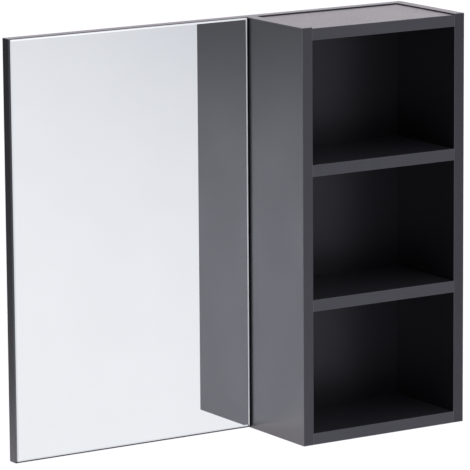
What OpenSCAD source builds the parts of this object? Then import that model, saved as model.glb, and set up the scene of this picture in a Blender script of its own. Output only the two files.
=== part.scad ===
// Wall mirror with an open shelf box, made of melamine-faced board.
// A full-width back board hangs on the wall. A frameless mirror is taped to its left part, and an
// open box with two fixed shelves is screwed to its right part from behind.
//
// Millimetres, +Z up, -Y towards the room. The wall face is the plane y = 0. The origin lies on it,
// midway between the round entries of the two keyhole plates.

/* [Overall] */
// Width of the back board
total_w = 600; // [480:10:900]
// Height of the back board, the mirror and the box
total_h = 540; // [420:10:900]
// Thickness of the back board
board_t = 15; // [14:1:19]
// Thickness of the plastic edge bands
band_t = 1; // [0.5:0.5:2]

/* [Shelf box] */
// Outer width of the box
box_w = 250; // [200:10:330]
// Depth of the box, in front of the back board
box_d = 130; // [110:10:220]
// Thickness of the sides, the shelves, the top and the bottom
panel_t = 15; // [15:1:19]
// How far the top panel lies below the top of the sides
top_recess = 1.5; // [0:0.5:3]

/* [Mirror] */
// Thickness of the glass
glass_t = 4; // [3:1:6]
// Width of the bevel round the front of the glass
bevel_w = 2; // [1:0.5:20]
// How much thinner the bevel makes the glass at its edge
bevel_depth = 0.6; // [0.4:0.2:1.2]
// Gap between the mirror and the box
mirror_gap = 2; // [1:0.5:10]
// How far the glass stops short of the board's top
mirror_top_inset = 0.5; // [0:0.5:5]
// How far the glass stops short of the board's bottom
mirror_bottom_inset = 3; // [0:0.5:5]
// Thickness of the foam tape behind the glass
tape_t = 1; // [0.8:0.1:2]
// Width of each strip of foam tape
tape_w = 25; // [12:1:30]
// Distance from the glass's edges to the foam tape
tape_margin = 20; // [10:5:40]
// Number of tape strips
tape_strips = 4; // [2:1:5]

/* [Panel joints] */
// Distance from the cam fitting to the dowel on each side of it
joint_pitch = 32; // [20:1:34]
// Diameter of the wooden dowels
dowel_d = 8; // [6:1:8]
// Length of the wooden dowels
dowel_l = 30; // [24:1:40]
// How deep a dowel sits in a side
dowel_side_depth = 10; // [8:1:11]
// Diameter of the cam
cam_d = 15; // [12:1:16]
// Board left above the cam's hole
cam_web = 2.5; // [2:0.5:4]
// Distance from a panel's end to the cam's centre
cam_setback = 24; // [20:1:34]
// Diameter of the hole that the cam bolt passes through
cam_bolt_hole_d = 8; // [7:0.5:8]
// Thread diameter of the cam bolt
cam_thread_d = 5; // [4:0.5:6]
// How deep the cam bolt is screwed into a side
cam_thread_l = 11; // [8:1:12]

/* [Box screws] */
// Shank diameter of the screws that hold the box to the board
box_screw_d = 4; // [3:0.5:5]
// Length of these screws
box_screw_l = 40; // [30:1:50]
// Head diameter of these screws
box_screw_head_d = 8; // [7:0.5:10]

/* [Wall hangers] */
// Distance between the two keyhole plates
hanger_span = 400; // [240:10:420]
// Distance from the board's top down to the keyhole entries
hanger_drop = 60; // [50:5:150]
// Width of a keyhole plate
plate_w = 30; // [24:1:36]
// Height of a keyhole plate
plate_h = 60; // [56:1:80]
// Thickness of a keyhole plate
plate_t = 1.5; // [1:0.5:2]
// Diameter of the keyhole's round entry
entry_d = 10; // [9:0.5:12]
// Width of the keyhole's slot
slot_w = 5; // [4:0.5:6]
// Height from the entry's centre to the seat at the slot's end
slot_rise = 12; // [10:1:14]
// Depth of the cavity for the head of the wall screw
cavity_depth = 10; // [6:0.5:11]
// Shank diameter of the plate screws
plate_screw_d = 3.5; // [3:0.5:4]
// Length of the plate screws
plate_screw_l = 12; // [10:1:12]
// Head diameter of the plate screws
plate_screw_head_d = 7; // [6:0.5:8]

/* [Hidden] */
$fn = 48;

// Clearances
fit_gap = 0.05;         // round a dowel, a cam or a thread in its hole
shank_gap = 0.2;        // round a screw's shank in a clearance hole
plate_gap = 0.2;        // round a keyhole plate in its recess
end_gap = 1;            // past the end of a dowel, a bolt or a screw in its blind hole
cam_gap = 0.5;          // round the bolt's head and neck inside the cam
head_sink = 0.2;        // of a screw's head or a cam below its surface
overcut = 0.1;          // of a cutting shape past the face that it opens

// Colours
anthracite = [0.20, 0.20, 0.22];
band_grey = [0.27, 0.27, 0.29];
silver = [0.86, 0.89, 0.91];
foam_white = [0.90, 0.90, 0.88];
beech = [0.80, 0.64, 0.44];
zinc = [0.74, 0.75, 0.76];
brass_zinc = [0.78, 0.70, 0.45];

// Overall planes
left_x = -total_w / 2;
right_x = total_w / 2;
top_z = hanger_drop;
bottom_z = top_z - total_h;
board_front_y = -board_t;
box_front_y = -board_t - box_d;
core_front_y = box_front_y + band_t;

// Shelf box
box_left_x = right_x - box_w;
inner_left_x = box_left_x + panel_t;
inner_right_x = right_x - panel_t;
inner_w = inner_right_x - inner_left_x;
box_mid_x = right_x - box_w / 2;
box_mid_y = board_front_y - box_d / 2;
compartment_h = (total_h - top_recess - 4 * panel_t) / 3;

// Levels of the four horizontal panels, from the bottom up
BOTTOM = 0;
LOWER = 1;
UPPER = 2;
TOP = 3;
LEVELS = [BOTTOM, LOWER, UPPER, TOP];
function level_z(level) = bottom_z + level * (panel_t + compartment_h);

// Mirror
glass_back_y = board_front_y - tape_t;
glass_front_y = glass_back_y - glass_t;
mirror_right_x = box_left_x - mirror_gap;
mirror_w = mirror_right_x - left_x;
mirror_bottom_z = bottom_z + mirror_bottom_inset;
mirror_h = total_h - mirror_top_inset - mirror_bottom_inset;

// Cam bolt, from its collar against the side to its head inside the cam. Its neck passes the cam's wall.
bolt_collar_d = cam_thread_d + 2;
bolt_collar_l = 1.5;
bolt_shank_d = cam_thread_d + 1;
bolt_neck_d = 3;
bolt_head_d = 6;
bolt_head_l = 3;
bolt_head_x = cam_setback - bolt_head_l / 2;
bolt_neck_x = cam_setback - cam_d / 2 - cam_gap;
cam_hole_depth = panel_t - cam_web;
cam_h = cam_hole_depth - head_sink;

// Keyhole plates
plate_below = 24;           // from the entry's centre down to the plate's lower edge
plate_corner_r = 4;
plate_screw_inset = 8;      // from the plate's ends to its screws
cavity_margin = 2;          // of the cavity round the entry
plate_screw_zs = [plate_screw_inset - plate_below, plate_h - plate_below - plate_screw_inset];

// Box from one corner to the opposite one
module block(low, high) {
    translate(low)
        cube(high - low);
}

// Rod along +X or +Y, starting at the origin
module rod_x(d, l) {
    rotate([0, 90, 0])
        cylinder(d = d, h = l);
}

module rod_y(d, l) {
    rotate([-90, 0, 0])
        cylinder(d = d, h = l);
}

// Rectangle of the given size with round corners, centred
module rounded_rect(w, h, r) {
    square([w - 2 * r, h], center = true);
    square([w, h - 2 * r], center = true);
    for (x = [-1, 1], z = [-1, 1])
        translate([x * (w / 2 - r), z * (h / 2 - r)])
            circle(r = r);
}

// Vertical slot from the origin up by rise
module upright_slot(w, rise) {
    circle(d = w);
    translate([0, rise])
        circle(d = w);
    translate([-w / 2, 0])
        square([w, rise]);
}

// Turns a flat outline in X and Z into a slab from y = 0 into the board
module into_board(depth) {
    rotate([90, 0, 0])
        linear_extrude(depth)
            children();
}

// ---- Screws: countersunk, head towards +Y, shank along -Y ----

function cone_length(head_d, shank_d) = (head_d - shank_d) / 2;

module countersunk_screw(shank_d, head_d, length) {
    cone_l = cone_length(head_d, shank_d);
    tip_l = shank_d;
    slot_l = head_d * 0.55;
    slot_t = head_d * 0.12;
    slot_depth = cone_l * 0.7;
    translate([0, -head_sink, 0])
        rotate([90, 0, 0])
            difference() {
                union() {
                    cylinder(d1 = head_d, d2 = shank_d, h = cone_l);
                    translate([0, 0, cone_l])
                        cylinder(d = shank_d, h = length - cone_l - tip_l);
                    translate([0, 0, length - tip_l])
                        cylinder(d1 = shank_d, d2 = shank_d / 4, h = tip_l);
                }
                for (a = [0, 90])
                    rotate([0, 0, a])
                        translate([-slot_l / 2, -slot_t / 2, -overcut])
                            cube([slot_l, slot_t, slot_depth + overcut]);
            }
}

// Clearance hole through a sheet, and the cone that the head seats in
module countersunk_hole(shank_d, head_d, depth) {
    hole_d = shank_d + 2 * shank_gap;
    mouth_d = head_d + 2 * (head_sink + overcut);
    rotate([90, 0, 0])
        translate([0, 0, -overcut]) {
            cylinder(d = hole_d, h = depth + 2 * overcut);
            cylinder(d1 = mouth_d, d2 = hole_d, h = (mouth_d - hole_d) / 2);
        }
}

// Blind hole that a countersunk screw bites in, widened round its head
module pilot_hole(shank_d, head_d, length) {
    rotate([90, 0, 0]) {
        cylinder(d = shank_d + 2 * fit_gap, h = length + head_sink + end_gap);
        cylinder(d1 = head_d + 2 * (head_sink + fit_gap), d2 = shank_d + 2 * fit_gap,
                 h = cone_length(head_d, shank_d) + head_sink);
    }
}

// Places its children on the back face at each box screw
module at_box_screws() {
    compartment_mids = [for (level = [BOTTOM, LOWER, UPPER]) level_z(level) + panel_t + compartment_h / 2];
    for (x = [box_left_x + panel_t / 2, right_x - panel_t / 2], z = compartment_mids)
        translate([x, 0, z])
            children();
    for (level = LEVELS)
        translate([box_mid_x, 0, level_z(level) + panel_t / 2])
            children();
}

// Blind holes for the box screws in the rear edges of the panels
module box_screw_pilots() {
    pilot_l = box_screw_l + head_sink - board_t + end_gap;
    at_box_screws()
        translate([0, board_front_y - pilot_l, 0])
            rod_y(box_screw_d + 2 * fit_gap, pilot_l + overcut);
}

// ---- Joints between the sides and the four horizontal panels ----
// Their local frame has its origin on the side's inner face, at mid-thickness, and +X into the panel.

module at_panel_ends(levels) {
    for (level = levels, right = [0, 1])
        translate([right == 0 ? inner_left_x : inner_right_x, box_mid_y, level_z(level) + panel_t / 2])
            mirror([right, 0, 0])
                children();
}

module at_dowels() {
    for (y = [-1, 1])
        translate([0, y * joint_pitch, 0])
            children();
}

module panel_end_holes() {
    dowel_hole_l = dowel_l - dowel_side_depth + end_gap;
    translate([-overcut, 0, 0])
        rod_x(cam_bolt_hole_d, cam_setback + overcut);
    at_dowels()
        translate([-overcut, 0, 0])
            rod_x(dowel_d + 2 * fit_gap, dowel_hole_l + overcut);
    translate([cam_setback, 0, -panel_t / 2 - overcut])
        cylinder(d = cam_d + 2 * fit_gap, h = cam_hole_depth + overcut);
}

module side_holes() {
    translate([-cam_thread_l - end_gap, 0, 0])
        rod_x(cam_thread_d + 2 * fit_gap, cam_thread_l + end_gap + overcut);
    at_dowels()
        translate([-dowel_side_depth, 0, 0])
            rod_x(dowel_d + 2 * fit_gap, dowel_side_depth + overcut);
}

module dowel() {
    chamfer = 1;
    translate([-dowel_side_depth, 0, 0])
        rotate([0, 90, 0]) {
            cylinder(d1 = dowel_d - 2 * chamfer, d2 = dowel_d, h = chamfer);
            translate([0, 0, chamfer])
                cylinder(d = dowel_d, h = dowel_l - 2 * chamfer);
            translate([0, 0, dowel_l - chamfer])
                cylinder(d1 = dowel_d, d2 = dowel_d - 2 * chamfer, h = chamfer);
        }
}

module cam_bolt() {
    translate([-cam_thread_l, 0, 0])
        rod_x(cam_thread_d, cam_thread_l);
    rod_x(bolt_collar_d, bolt_collar_l);
    translate([bolt_collar_l, 0, 0])
        rod_x(bolt_shank_d, bolt_neck_x - bolt_collar_l);
    translate([bolt_neck_x, 0, 0])
        rod_x(bolt_neck_d, bolt_head_x - bolt_neck_x);
    translate([bolt_head_x, 0, 0])
        rod_x(bolt_head_d, bolt_head_l);
}

// The cam hooks behind the bolt's head. Its entry is turned away to the side, as when it is locked.
module cam_lock() {
    pocket_d = bolt_head_d + 2 * cam_gap;
    pocket_l = bolt_head_l + 2 * cam_gap;
    cross_l = cam_d * 0.5;
    cross_t = cam_d * 0.1;
    cross_depth = cam_web * 0.6;
    face_z = -panel_t / 2 + head_sink;
    translate([cam_setback, 0, 0])
        difference() {
            translate([0, 0, face_z])
                cylinder(d = cam_d, h = cam_h);
            translate([-pocket_l / 2, 0, 0])
                rod_x(pocket_d, pocket_l);
            translate([-cam_d, 0, 0])
                rod_x(bolt_neck_d + 2 * cam_gap, cam_d);
            rod_y(pocket_d, cam_d);
            for (a = [0, 90])
                rotate([0, 0, a])
                    translate([-cross_l / 2, -cross_t / 2, face_z - overcut])
                        cube([cross_l, cross_t, cross_depth + overcut]);
        }
}

// ---- Back board ----

module at_hangers() {
    for (x = [-1, 1])
        translate([x * hanger_span / 2, 0, 0])
            children();
}

module plate_outline(gap) {
    translate([0, plate_h / 2 - plate_below])
        rounded_rect(plate_w + 2 * gap, plate_h + 2 * gap, plate_corner_r + gap);
}

module hanger_recess() {
    translate([0, overcut, 0])
        into_board(plate_t + overcut)
            plate_outline(plate_gap);
    into_board(cavity_depth)
        upright_slot(entry_d + 2 * cavity_margin, slot_rise);
    for (z = plate_screw_zs)
        translate([0, 0, z])
            pilot_hole(plate_screw_d, plate_screw_head_d, plate_screw_l);
}

module back_board() {
    color(anthracite)
        difference() {
            block([left_x + band_t, board_front_y, bottom_z + band_t],
                  [right_x - band_t, 0, top_z - band_t]);
            at_hangers()
                hanger_recess();
            at_box_screws()
                countersunk_hole(box_screw_d, box_screw_head_d, board_t);
        }
}

module upright_board_band(x) {
    color(band_grey)
        block([x, board_front_y, bottom_z], [x + band_t, 0, top_z]);
}

module level_board_band(z) {
    color(band_grey)
        block([left_x + band_t, board_front_y, z], [right_x - band_t, 0, z + band_t]);
}

module board_band_left() {
    upright_board_band(left_x);
}

module board_band_right() {
    upright_board_band(right_x - band_t);
}

module board_band_top() {
    level_board_band(top_z - band_t);
}

module board_band_bottom() {
    level_board_band(bottom_z);
}

// ---- Mirror ----

// Outline of the glass from the back, y = 0, to the bevelled front, y = -glass_t
function bevelled(length) = [
    [0, 0], [length, 0], [length, -glass_t + bevel_depth], [length - bevel_w, -glass_t],
    [bevel_w, -glass_t], [0, -glass_t + bevel_depth]
];

module mirror_glass() {
    color(silver)
        translate([left_x, glass_back_y, mirror_bottom_z])
            intersection() {
                linear_extrude(mirror_h)
                    polygon(bevelled(mirror_w));
                rotate([90, 0, 90])
                    linear_extrude(mirror_w)
                        polygon([for (p = bevelled(mirror_h)) [p[1], p[0]]]);
            }
}

module mirror_tapes() {
    tape_step = (mirror_w - 2 * tape_margin - tape_w) / (tape_strips - 1);
    color(foam_white)
        for (i = [0 : tape_strips - 1])
            translate([left_x + tape_margin + i * tape_step, glass_back_y, mirror_bottom_z + tape_margin])
                cube([tape_w, tape_t, mirror_h - 2 * tape_margin]);
}

// ---- Shelf box ----

module side_panel(x) {
    color(anthracite)
        difference() {
            block([x, core_front_y, bottom_z + band_t], [x + panel_t, board_front_y, top_z - band_t]);
            at_panel_ends(LEVELS)
                side_holes();
            box_screw_pilots();
        }
}

module side_front_band(x) {
    color(band_grey)
        block([x, box_front_y, bottom_z], [x + panel_t, core_front_y, top_z]);
}

module side_end_bands(z) {
    color(band_grey)
        for (x = [box_left_x, inner_right_x])
            block([x, core_front_y, z], [x + panel_t, board_front_y, z + band_t]);
}

module level_panel(level) {
    z = level_z(level);
    color(anthracite)
        difference() {
            block([inner_left_x, core_front_y, z], [inner_right_x, board_front_y, z + panel_t]);
            at_panel_ends([level])
                panel_end_holes();
            box_screw_pilots();
        }
}

module level_panel_band(level) {
    z = level_z(level);
    color(band_grey)
        block([inner_left_x, box_front_y, z], [inner_right_x, core_front_y, z + panel_t]);
}

module left_side_panel() {
    side_panel(box_left_x);
}

module right_side_panel() {
    side_panel(inner_right_x);
}

module left_side_front_band() {
    side_front_band(box_left_x);
}

module right_side_front_band() {
    side_front_band(inner_right_x);
}

module side_top_bands() {
    side_end_bands(top_z - band_t);
}

module side_bottom_bands() {
    side_end_bands(bottom_z);
}

module top_panel() {
    level_panel(TOP);
}

module upper_shelf() {
    level_panel(UPPER);
}

module lower_shelf() {
    level_panel(LOWER);
}

module bottom_panel() {
    level_panel(BOTTOM);
}

module top_panel_band() {
    level_panel_band(TOP);
}

module upper_shelf_band() {
    level_panel_band(UPPER);
}

module lower_shelf_band() {
    level_panel_band(LOWER);
}

module bottom_panel_band() {
    level_panel_band(BOTTOM);
}

// ---- Fittings ----

module dowels() {
    color(beech)
        at_panel_ends(LEVELS)
            at_dowels()
                dowel();
}

module cam_bolts() {
    color(zinc)
        at_panel_ends(LEVELS)
            cam_bolt();
}

module cam_locks() {
    color(zinc)
        at_panel_ends(LEVELS)
            cam_lock();
}

module box_screws() {
    color(brass_zinc)
        at_box_screws()
            countersunk_screw(box_screw_d, box_screw_head_d, box_screw_l);
}

module hanger_plate() {
    color(zinc)
        difference() {
            into_board(plate_t)
                difference() {
                    plate_outline(0);
                    circle(d = entry_d);
                    upright_slot(slot_w, slot_rise);
                }
            for (z = plate_screw_zs)
                translate([0, 0, z])
                    countersunk_hole(plate_screw_d, plate_screw_head_d, plate_t);
        }
}

module hanger_plate_left() {
    translate([-hanger_span / 2, 0, 0])
        hanger_plate();
}

module hanger_plate_right() {
    translate([hanger_span / 2, 0, 0])
        hanger_plate();
}

module hanger_screws() {
    color(zinc)
        at_hangers()
            for (z = plate_screw_zs)
                translate([0, 0, z])
                    countersunk_screw(plate_screw_d, plate_screw_head_d, plate_screw_l);
}

back_board();
board_band_left();
board_band_right();
board_band_top();
board_band_bottom();
mirror_glass();
mirror_tapes();
left_side_panel();
right_side_panel();
left_side_front_band();
right_side_front_band();
side_top_bands();
side_bottom_bands();
top_panel();
upper_shelf();
lower_shelf();
bottom_panel();
top_panel_band();
upper_shelf_band();
lower_shelf_band();
bottom_panel_band();
dowels();
cam_bolts();
cam_locks();
box_screws();
hanger_plate_left();
hanger_plate_right();
hanger_screws();
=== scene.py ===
import math

import bpy
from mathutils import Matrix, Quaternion, Vector


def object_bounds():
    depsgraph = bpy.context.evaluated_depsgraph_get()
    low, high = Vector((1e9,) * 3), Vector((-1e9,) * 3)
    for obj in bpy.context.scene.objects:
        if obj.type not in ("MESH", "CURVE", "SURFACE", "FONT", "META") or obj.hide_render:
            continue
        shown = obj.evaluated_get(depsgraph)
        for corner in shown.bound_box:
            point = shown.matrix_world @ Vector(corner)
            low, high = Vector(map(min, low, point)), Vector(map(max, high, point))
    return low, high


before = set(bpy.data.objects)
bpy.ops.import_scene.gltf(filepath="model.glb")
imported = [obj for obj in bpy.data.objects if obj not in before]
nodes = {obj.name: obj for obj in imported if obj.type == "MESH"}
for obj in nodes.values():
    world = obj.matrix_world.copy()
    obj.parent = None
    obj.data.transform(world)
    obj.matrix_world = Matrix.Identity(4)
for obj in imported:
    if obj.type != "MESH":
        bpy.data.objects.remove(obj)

cad_low, cad_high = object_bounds()
centre = (cad_low + cad_high) / 2

MM = 0.001

# Camera: where it stands round the object's centre, and its long lens
VIEW_AZIMUTH = -32.56
VIEW_ELEVATION = 10.81
VIEW_DISTANCE = 5.187
VIEW_ROLL = -0.42
AIM_SIDE = -5.3 * MM
LENS_MM = 311.3

# Room round the object
FLOOR_DROP = 1.2
FLOOR_SIZE = 60.0
FLOOR_PALE = (0.87, 0.87, 0.87)
# Colour of the floor's painted shade far to the front right, then the slant, start and end of that shade
FLOOR_PAINTED_SHADE = (0.50, 0.51, 0.54)
DIM_SLANT = 0.3
DIM_START = 0.8
DIM_END = 5.6
FRONT_FADE = 2.0
BEHIND_BAND = (-0.1, 0.5)
BEHIND_COLOUR = (1.75, 1.64, 1.76)
FRONT_COLOUR = (0.66, 0.67, 0.69)
OVERHEAD_BAND = (0.3, 0.8)
OVERHEAD_COLOUR = (0.93, 0.95, 0.97)

# Rounding of the edge bands' edges
BAND_EDGE = 0.25 * MM
SHARP_ANGLE = math.radians(40)
WELD_LIMIT = 0.001 * MM

# Board faces and bands: darkest and lightest colour of their mottling, then their gloss and pores
BOARD = ((0.0025, 0.0024, 0.0031), (0.0048, 0.0046, 0.0058))
# Lighter copy of the board colour for the shelves and the bottom panel: painted light
LIT_SHELF = ((0.015, 0.015, 0.019), (0.022, 0.022, 0.027))
PLAIN_BAND = ((0.015, 0.0142, 0.0175), (0.023, 0.0222, 0.0265))
# Lighter, bluer copy of the band colour for the level bands: painted light
LIT_BLUISH_BAND = ((0.021, 0.0210, 0.0250), (0.031, 0.0310, 0.0365))
# Darker copy of the band colour for the board's left band, which faces left: painted shade
SHADED_BAND = ((0.013, 0.0120, 0.0135), (0.020, 0.0185, 0.0205))
BOARD_TINT = (0.90, 0.87, 1.0, 1)
BOARD_IOR = 1.46
BAND_IOR = 1.58
SATIN_BAND_IOR = 1.50
DULL_BAND_IOR = 1.42
PORE_DEPTH = 0.02 * MM

# Parts of the mirror, told apart by the direction of their surface
FACE_NORMAL_Y = -0.99
EDGE_NORMAL_Y = 0.3
# Span of the normal's X plus Z over which the bevel turns pale and matt: a painted highlight along its top and
# right
PAINTED_HIGHLIGHT_BEVEL = (0.1, 0.2)


# ---------- Node helpers ----------

def new_material(name):
    """A material with a principled shader, with the node tree and the shader to build on."""
    material = bpy.data.materials.new(name)
    material.use_nodes = True
    tree = material.node_tree
    tree.nodes.clear()
    output = tree.nodes.new("ShaderNodeOutputMaterial")
    shader = tree.nodes.new("ShaderNodeBsdfPrincipled")
    tree.links.new(shader.outputs["BSDF"], output.inputs["Surface"])
    return material, tree, shader


def place(tree, scale=(1, 1, 1)):
    """The row frame's own coordinates in metres, stretched along each axis."""
    coordinates = tree.nodes.new("ShaderNodeTexCoord")
    mapping = tree.nodes.new("ShaderNodeMapping")
    mapping.inputs["Scale"].default_value = scale
    tree.links.new(coordinates.outputs["Object"], mapping.inputs["Vector"])
    return mapping.outputs["Vector"]


def noise(tree, vector, scale, detail=3.0, roughness=0.5):
    """Cloudy pattern with about that many patches to the metre."""
    node = tree.nodes.new("ShaderNodeTexNoise")
    node.inputs["Scale"].default_value = scale
    node.inputs["Detail"].default_value = detail
    node.inputs["Roughness"].default_value = roughness
    tree.links.new(vector, node.inputs["Vector"])
    return node.outputs["Fac"]


def spread(tree, value, low, high):
    """Maps a noise value of about 0.3 to 0.7 to low to high."""
    node = tree.nodes.new("ShaderNodeMapRange")
    node.inputs["From Min"].default_value = 0.3
    node.inputs["From Max"].default_value = 0.7
    node.inputs["To Min"].default_value = low
    node.inputs["To Max"].default_value = high
    tree.links.new(value, node.inputs["Value"])
    return node.outputs["Result"]


def ramp(tree, value, start, end):
    """0 below start, 1 above end, and a smooth rise between them."""
    node = tree.nodes.new("ShaderNodeMapRange")
    node.interpolation_type = "SMOOTHSTEP"
    node.inputs["From Min"].default_value = start
    node.inputs["From Max"].default_value = end
    tree.links.new(value, node.inputs["Value"])
    return node.outputs["Result"]


def math_node(tree, operation, a, b=0.0):
    """The result of a sum, a comparison or the like, whose terms are numbers or outputs of other nodes."""
    node = tree.nodes.new("ShaderNodeMath")
    node.operation = operation
    for socket, value in zip(node.inputs, (a, b)):
        if isinstance(value, (int, float)):
            socket.default_value = value
        else:
            tree.links.new(value, socket)
    return node.outputs["Value"]


def mix_colours(tree, factor, first, second):
    """The first colour where the factor is 0, the second where it is 1. Either may come from another node."""
    node = tree.nodes.new("ShaderNodeMix")
    node.data_type = "RGBA"
    tree.links.new(factor, node.inputs["Factor"])
    for name, colour in (("A", first), ("B", second)):
        socket = next(s for s in node.inputs if s.name == name and s.type == "RGBA")
        if isinstance(colour, tuple):
            socket.default_value = (*colour, 1)
        else:
            tree.links.new(colour, socket)
    return next(s for s in node.outputs if s.type == "RGBA")


def bump(tree, shader, height, distance, strength=1.0):
    """Relief of that depth in metres."""
    node = tree.nodes.new("ShaderNodeBump")
    node.inputs["Distance"].default_value = distance
    node.inputs["Strength"].default_value = strength
    tree.links.new(height, node.inputs["Height"])
    tree.links.new(node.outputs["Normal"], shader.inputs["Normal"])


# ---------- Materials ----------

def melamine(name, dark, light):
    """Anthracite melamine face: satin, finely mottled, with a shallow pore texture."""
    material, tree, shader = new_material(name)
    here = place(tree)
    cloud = noise(tree, here, 9.0, 2.0)
    mottle = noise(tree, here, 420.0, 4.0, 0.6)
    colour = mix_colours(tree, spread(tree, mottle, 0.0, 1.0), dark, light)
    tree.links.new(colour, shader.inputs["Base Color"])
    rough = math_node(tree, "ADD", spread(tree, cloud, 0.34, 0.38), spread(tree, mottle, -0.04, 0.04))
    tree.links.new(rough, shader.inputs["Roughness"])
    shader.inputs["IOR"].default_value = BOARD_IOR
    shader.inputs["Specular Tint"].default_value = BOARD_TINT
    bump(tree, shader, noise(tree, here, 900.0, 2.0), PORE_DEPTH, 0.6)
    return material


def edge_band(name, along, dark, light, gloss_ior=BAND_IOR):
    """Plastic edge band: satin, with fine striations along the way it was extruded."""
    material, tree, shader = new_material(name)
    stretch = tuple(0.06 if axis == along else 1.0 for axis in "xyz")
    streaks = noise(tree, place(tree, stretch), 900.0, 2.0)
    mottle = noise(tree, place(tree), 500.0, 3.0, 0.6)
    both = math_node(tree, "ADD", math_node(tree, "MULTIPLY", streaks, 0.6),
                     math_node(tree, "MULTIPLY", mottle, 0.4))
    colour = mix_colours(tree, spread(tree, both, 0.0, 1.0), dark, light)
    tree.links.new(colour, shader.inputs["Base Color"])
    tree.links.new(spread(tree, both, 0.36, 0.46), shader.inputs["Roughness"])
    shader.inputs["IOR"].default_value = gloss_ior
    shader.inputs["Specular Tint"].default_value = BOARD_TINT
    bump(tree, shader, streaks, PORE_DEPTH, 0.5)
    return material


def scraped_and_highlit_edge():
    """Rounded edge of a band, unevenly scraped by the trimming knife and painted much paler than the band:
    wear and a painted highlight along the edge.
    """
    material, tree, shader = new_material("scraped_and_highlit_edge")
    scrapes = noise(tree, place(tree), 260.0, 4.0, 0.7)
    # Pale colour of the rounded edges: scraping wear and a painted highlight
    colour = mix_colours(tree, spread(tree, scrapes, 0.0, 1.0), (0.065, 0.064, 0.073), (0.095, 0.093, 0.104))
    tree.links.new(colour, shader.inputs["Base Color"])
    tree.links.new(spread(tree, scrapes, 0.35, 0.6), shader.inputs["Roughness"])
    shader.inputs["IOR"].default_value = 1.55
    return material


def mirror():
    """Silvered glass with ground edges and a duller bevel. Along the top and the right the bevel is painted
    pale and matt, a painted highlight fixed to those sides.

    The glass bends the light, so that the bevel reflects as if it were only half as steep.
    """
    material, tree, shader = new_material("mirror_glass")
    here = place(tree)
    geometry = tree.nodes.new("ShaderNodeNewGeometry")
    axes = tree.nodes.new("ShaderNodeSeparateXYZ")
    tree.links.new(geometry.outputs["Normal"], axes.inputs["Vector"])
    front = math_node(tree, "LESS_THAN", axes.outputs["Y"], FACE_NORMAL_Y)
    not_front = math_node(tree, "SUBTRACT", 1.0, front)
    flat_edge = math_node(tree, "LESS_THAN", math_node(tree, "ABSOLUTE", axes.outputs["Y"]), EDGE_NORMAL_Y)
    haze = noise(tree, here, 14.0, 3.0)
    ground = noise(tree, here, 2500.0, 2.0)
    silver = mix_colours(tree, spread(tree, haze, 0.0, 1.0), (0.812, 0.829, 0.839), (0.827, 0.844, 0.854))
    dull = mix_colours(tree, spread(tree, haze, 0.0, 1.0), (0.70, 0.715, 0.73), (0.72, 0.735, 0.75))
    pale = mix_colours(tree, spread(tree, ground, 0.0, 1.0), (0.90, 0.92, 0.94), (0.97, 0.98, 0.99))
    # Painted highlight: the bevel's top and right get a pale, matt colour
    painted_highlight = ramp(tree, math_node(tree, "ADD", axes.outputs["X"], axes.outputs["Z"]), *PAINTED_HIGHLIGHT_BEVEL)
    bevel = mix_colours(tree, painted_highlight, dull, pale)
    edge = mix_colours(tree, spread(tree, ground, 0.0, 1.0), (0.035, 0.042, 0.055), (0.055, 0.063, 0.078))
    rim = mix_colours(tree, flat_edge, bevel, edge)
    tree.links.new(mix_colours(tree, front, rim, silver), shader.inputs["Base Color"])
    # Rough and not metallic on the ground edges and on the bevel's painted highlight
    ground_edges_and_highlight = math_node(tree, "MAXIMUM", flat_edge, math_node(tree, "MULTIPLY", painted_highlight, not_front))
    tree.links.new(math_node(tree, "SUBTRACT", 1.0, ground_edges_and_highlight), shader.inputs["Metallic"])
    rough = math_node(tree, "ADD", 0.01, math_node(tree, "MULTIPLY", ground_edges_and_highlight, 0.4))
    tree.links.new(rough, shader.inputs["Roughness"])
    forward = tree.nodes.new("ShaderNodeCombineXYZ")
    tree.links.new(math_node(tree, "SUBTRACT", flat_edge, 1.0), forward.inputs["Y"])
    halfway = tree.nodes.new("ShaderNodeVectorMath")
    halfway.operation = "ADD"
    tree.links.new(geometry.outputs["Normal"], halfway.inputs[0])
    tree.links.new(forward.outputs["Vector"], halfway.inputs[1])
    unit = tree.nodes.new("ShaderNodeVectorMath")
    unit.operation = "NORMALIZE"
    tree.links.new(halfway.outputs["Vector"], unit.inputs[0])
    tree.links.new(unit.outputs["Vector"], shader.inputs["Normal"])
    return material


def foam_tape():
    """White foam with fine open cells."""
    material, tree, shader = new_material("foam_tape")
    cells = noise(tree, place(tree), 1800.0, 3.0, 0.7)
    colour = mix_colours(tree, spread(tree, cells, 0.0, 1.0), (0.55, 0.55, 0.52), (0.75, 0.75, 0.72))
    tree.links.new(colour, shader.inputs["Base Color"])
    tree.links.new(spread(tree, cells, 0.75, 0.95), shader.inputs["Roughness"])
    bump(tree, shader, cells, 0.15 * MM)
    return material


def beech():
    """Dowel wood, with its grain along the dowel."""
    material, tree, shader = new_material("dowel_wood")
    grain = noise(tree, place(tree, (0.08, 1, 1)), 700.0, 4.0, 0.6)
    flecks = noise(tree, place(tree, (0.2, 1, 1)), 1600.0, 2.0)
    colour = mix_colours(tree, spread(tree, grain, 0.0, 1.0), (0.42, 0.25, 0.12), (0.60, 0.40, 0.22))
    tree.links.new(colour, shader.inputs["Base Color"])
    tree.links.new(spread(tree, flecks, 0.5, 0.7), shader.inputs["Roughness"])
    bump(tree, shader, grain, 0.06 * MM)
    return material


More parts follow.
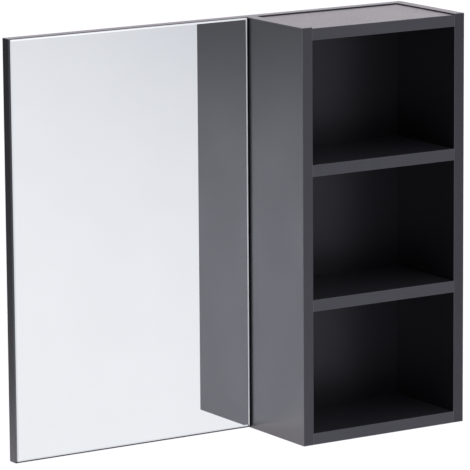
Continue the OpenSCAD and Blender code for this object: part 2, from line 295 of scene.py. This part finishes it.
def metal(name, dark, light, rough, texture_scale, dent):
    """Plated or cast metal with cloudy colour, uneven gloss and a fine surface."""
    material, tree, shader = new_material(name)
    here = place(tree)
    cloud = noise(tree, here, 160.0, 3.0)
    fine = noise(tree, here, texture_scale, 3.0, 0.6)
    tree.links.new(mix_colours(tree, spread(tree, cloud, 0.0, 1.0), dark, light), shader.inputs["Base Color"])
    uneven = math_node(tree, "ADD", spread(tree, cloud, rough - 0.06, rough + 0.04),
                       spread(tree, fine, -0.03, 0.05))
    tree.links.new(uneven, shader.inputs["Roughness"])
    shader.inputs["Metallic"].default_value = 1.0
    bump(tree, shader, fine, dent)
    return material


def painted_floor():
    """Plain pale floor. Far to the front right it is painted darker, a painted shade where the studio light
    doesn't reach.
    """
    material, tree, shader = new_material("pale_floor")
    here = place(tree)
    axes = tree.nodes.new("ShaderNodeSeparateXYZ")
    tree.links.new(here, axes.inputs["Vector"])
    away = math_node(tree, "ADD", axes.outputs["X"],
                     math_node(tree, "MULTIPLY", axes.outputs["Y"], DIM_SLANT))
    in_front = ramp(tree, math_node(tree, "MULTIPLY", axes.outputs["Y"], -1.0), 0.0, FRONT_FADE)
    # Painted shade on the floor, far to the front right
    painted_shade = math_node(tree, "MULTIPLY", in_front, ramp(tree, away, DIM_START, DIM_END))
    colour = mix_colours(tree, painted_shade, FLOOR_PALE, FLOOR_PAINTED_SHADE)
    tree.links.new(colour, shader.inputs["Base Color"])
    tree.links.new(spread(tree, noise(tree, here, 1.5, 2.0), 0.85, 0.95), shader.inputs["Roughness"])
    shader.inputs["Specular IOR Level"].default_value = 0.1
    return material


def black_reflection_shade():
    """Dull black of the sheet that paints shade into reflections."""
    material, _, shader = new_material("black_reflection_shade")
    shader.inputs["Base Color"].default_value = (0.01, 0.01, 0.01, 1)
    shader.inputs["Specular IOR Level"].default_value = 0.0
    return material


# ---------- The CAD nodes' looks ----------

def dress(names, material, edge=None, edge_material=None):
    """Gives the nodes a material. Given a width, it also rounds their sharp edges, in a second material."""
    for name in names:
        node = nodes[name]
        node.data.materials.clear()
        node.data.materials.append(material)
        if edge is None:
            continue
        node.data.materials.append(edge_material)
        weld = node.modifiers.new("weld", "WELD")
        weld.merge_threshold = WELD_LIMIT
        bevel = node.modifiers.new("soft_edges", "BEVEL")
        bevel.width = edge
        bevel.segments = 2
        bevel.limit_method = "ANGLE"
        bevel.angle_limit = SHARP_ANGLE
        bevel.harden_normals = True
        bevel.use_clamp_overlap = True
        bevel.material = 1


PANELS = ["back_board", "left_side_panel", "right_side_panel", "top_panel"]
SHELVES = ["upper_shelf", "lower_shelf", "bottom_panel"]
UPRIGHT_BANDS = ["board_band_right", "left_side_front_band"]
LEVEL_BANDS = ["board_band_top", "board_band_bottom", "top_panel_band", "upper_shelf_band", "lower_shelf_band",
               "bottom_panel_band"]
DEPTH_BANDS = ["side_top_bands", "side_bottom_bands"]

dress(PANELS, melamine("melamine_board", *BOARD))
# Shelves and bottom panel: painted light, in a lighter copy of the board colour
dress(SHELVES, melamine("melamine_shelf_lit", *LIT_SHELF))
scraped_and_highlit = scraped_and_highlit_edge()
dress(UPRIGHT_BANDS, edge_band("edge_band_upright", "z", *PLAIN_BAND), BAND_EDGE, scraped_and_highlit)
# The board's left band: painted shade, in a darker colour, with a weaker gloss
dress(["board_band_left"], edge_band("edge_band_shaded_dull", "z", *SHADED_BAND, DULL_BAND_IOR), BAND_EDGE, scraped_and_highlit)
dress(["right_side_front_band"], edge_band("edge_band_satin", "z", *PLAIN_BAND, SATIN_BAND_IOR), BAND_EDGE,
      scraped_and_highlit)
# Level bands: painted light, in a lighter copy of the band colour
dress(LEVEL_BANDS, edge_band("edge_band_level_lit", "x", *LIT_BLUISH_BAND), BAND_EDGE, scraped_and_highlit)
dress(DEPTH_BANDS, edge_band("edge_band_depth", "y", *PLAIN_BAND), BAND_EDGE, scraped_and_highlit)
dress(["mirror_glass"], mirror())
dress(["mirror_tapes"], foam_tape())
dress(["dowels"], beech())
zinc = metal("zinc_plate", (0.50, 0.52, 0.54), (0.66, 0.67, 0.68), 0.34, 1400.0, 0.01 * MM)
dress(["cam_bolts", "hanger_plate_left", "hanger_plate_right"], zinc)
cast_zinc = metal("cast_zinc", (0.34, 0.34, 0.35), (0.46, 0.46, 0.47), 0.48, 900.0, 0.04 * MM)
dress(["cam_locks"], cast_zinc)
yellow_zinc = metal("screw_steel", (0.55, 0.47, 0.26), (0.70, 0.62, 0.38), 0.30, 1400.0, 0.01 * MM)
dress(["box_screws", "hanger_screws"], yellow_zinc)


# ---------- Floor, light and camera ----------

def direction(azimuth, elevation):
    """From the object towards a viewer at that azimuth and elevation, in degrees."""
    a, e = math.radians(azimuth), math.radians(elevation)
    return Vector((math.sin(a) * math.cos(e), -math.cos(a) * math.cos(e), math.sin(e)))


def add_floor():
    """Level floor, well below the hanging object."""
    z = cad_low.z - FLOOR_DROP
    half = FLOOR_SIZE / 2
    corners = [(-half, -half, z), (half, -half, z), (half, half, z), (-half, half, z)]
    mesh = bpy.data.meshes.new("floor")
    mesh.from_pydata(corners, [], [(0, 1, 2, 3)])
    floor = bpy.data.objects.new("floor", mesh)
    floor.data.materials.append(painted_floor())
    bpy.context.scene.collection.objects.link(floor)


def add_world():
    """White all round, bright behind the object and calmer in front of it."""
    world = bpy.data.worlds.new("studio")
    world.use_nodes = True
    tree = world.node_tree
    coordinates = tree.nodes.new("ShaderNodeTexCoord")
    axes = tree.nodes.new("ShaderNodeSeparateXYZ")
    tree.links.new(coordinates.outputs["Generated"], axes.inputs["Vector"])
    behind = ramp(tree, axes.outputs["Y"], *BEHIND_BAND)
    around = mix_colours(tree, behind, FRONT_COLOUR, BEHIND_COLOUR)
    height = math_node(tree, "ABSOLUTE", axes.outputs["Z"])
    colour = mix_colours(tree, ramp(tree, height, *OVERHEAD_BAND), around, OVERHEAD_COLOUR)
    tree.links.new(colour, tree.nodes["Background"].inputs["Color"])
    bpy.context.scene.world = world


def add_sun(name, strength, azimuth, elevation, width):
    """Soft light from far away. The azimuth is the side that it comes from, as for the camera."""
    data = bpy.data.lights.new(name, "SUN")
    data.energy = strength
    data.angle = math.radians(width)
    sun = bpy.data.objects.new(name, data)
    sun.rotation_euler = direction(azimuth, elevation).to_track_quat("Z", "Y").to_euler()
    bpy.context.scene.collection.objects.link(sun)


def add_softbox(name, place_at, width, height, brightness, tint):
    """Upright area light that faces the object, itself unseen. Its brightness is in the world's units."""
    data = bpy.data.lights.new(name, "AREA")
    data.shape = "RECTANGLE"
    data.size = width
    data.size_y = height
    data.energy = brightness * math.pi * width * height
    data.color = tint
    box = bpy.data.objects.new(name, data)
    box.location = place_at
    towards = centre - place_at
    box.rotation_euler = Vector((towards.x, towards.y, 0)).to_track_quat("-Z", "Y").to_euler()
    box.visible_camera = False
    bpy.context.scene.collection.objects.link(box)


def add_reflection_shade(name, place_at, width, height):
    """Upright black sheet that faces the object, seen only in its gloss: it paints shade into the object's
    reflections.
    """
    towards = centre - place_at
    across = Vector((-towards.y, towards.x, 0)).normalized() * width / 2
    up = Vector((0, 0, height / 2))
    corners = [place_at + a * across + b * up for a, b in ((-1, -1), (1, -1), (1, 1), (-1, 1))]
    mesh = bpy.data.meshes.new(name)
    mesh.from_pydata(corners, [], [(0, 1, 2, 3)])
    shade_sheet = bpy.data.objects.new(name, mesh)
    shade_sheet.data.materials.append(black_reflection_shade())
    for kind in ("camera", "diffuse", "transmission", "volume_scatter", "shadow"):
        setattr(shade_sheet, f"visible_{kind}", False)
    bpy.context.scene.collection.objects.link(shade_sheet)


def add_camera():
    """Long lens from the front left and a little above, level but for a slight roll."""
    data = bpy.data.cameras.new("camera")
    data.lens = LENS_MM
    data.clip_end = 200
    camera = bpy.data.objects.new("camera", data)
    back = direction(VIEW_AZIMUTH, VIEW_ELEVATION)
    side = Vector((-back.y, back.x, 0)).normalized()
    camera.location = centre + back * VIEW_DISTANCE
    roll = Quaternion((0, 0, 1), math.radians(VIEW_ROLL))
    camera.rotation_mode = "QUATERNION"
    aim = centre + side * AIM_SIDE
    camera.rotation_quaternion = (camera.location - aim).to_track_quat("Z", "Y") @ roll
    bpy.context.scene.collection.objects.link(camera)
    bpy.context.scene.camera = camera


add_floor()
add_world()
# Black sheet at the back left, seen only in reflections: painted shade in them
add_reflection_shade("left_reflection_shade", place_at=Vector((-1.6, 1.7, 0.3)), width=3.0, height=2.6)
add_sun("overhead", strength=0.6, azimuth=0, elevation=88, width=60)
add_softbox("low_left_front", place_at=Vector((-0.78, -1.09, -0.65)), width=0.70, height=0.83,
            brightness=3.1, tint=(0.96, 0.99, 1.04))
add_softbox("low_left_rear", place_at=Vector((-0.56, 1.04, -1.05)), width=1.0, height=0.6,
            brightness=3.1, tint=(1.0, 0.97, 0.99))
add_camera()
bpy.context.scene.view_settings.view_transform = "Standard"
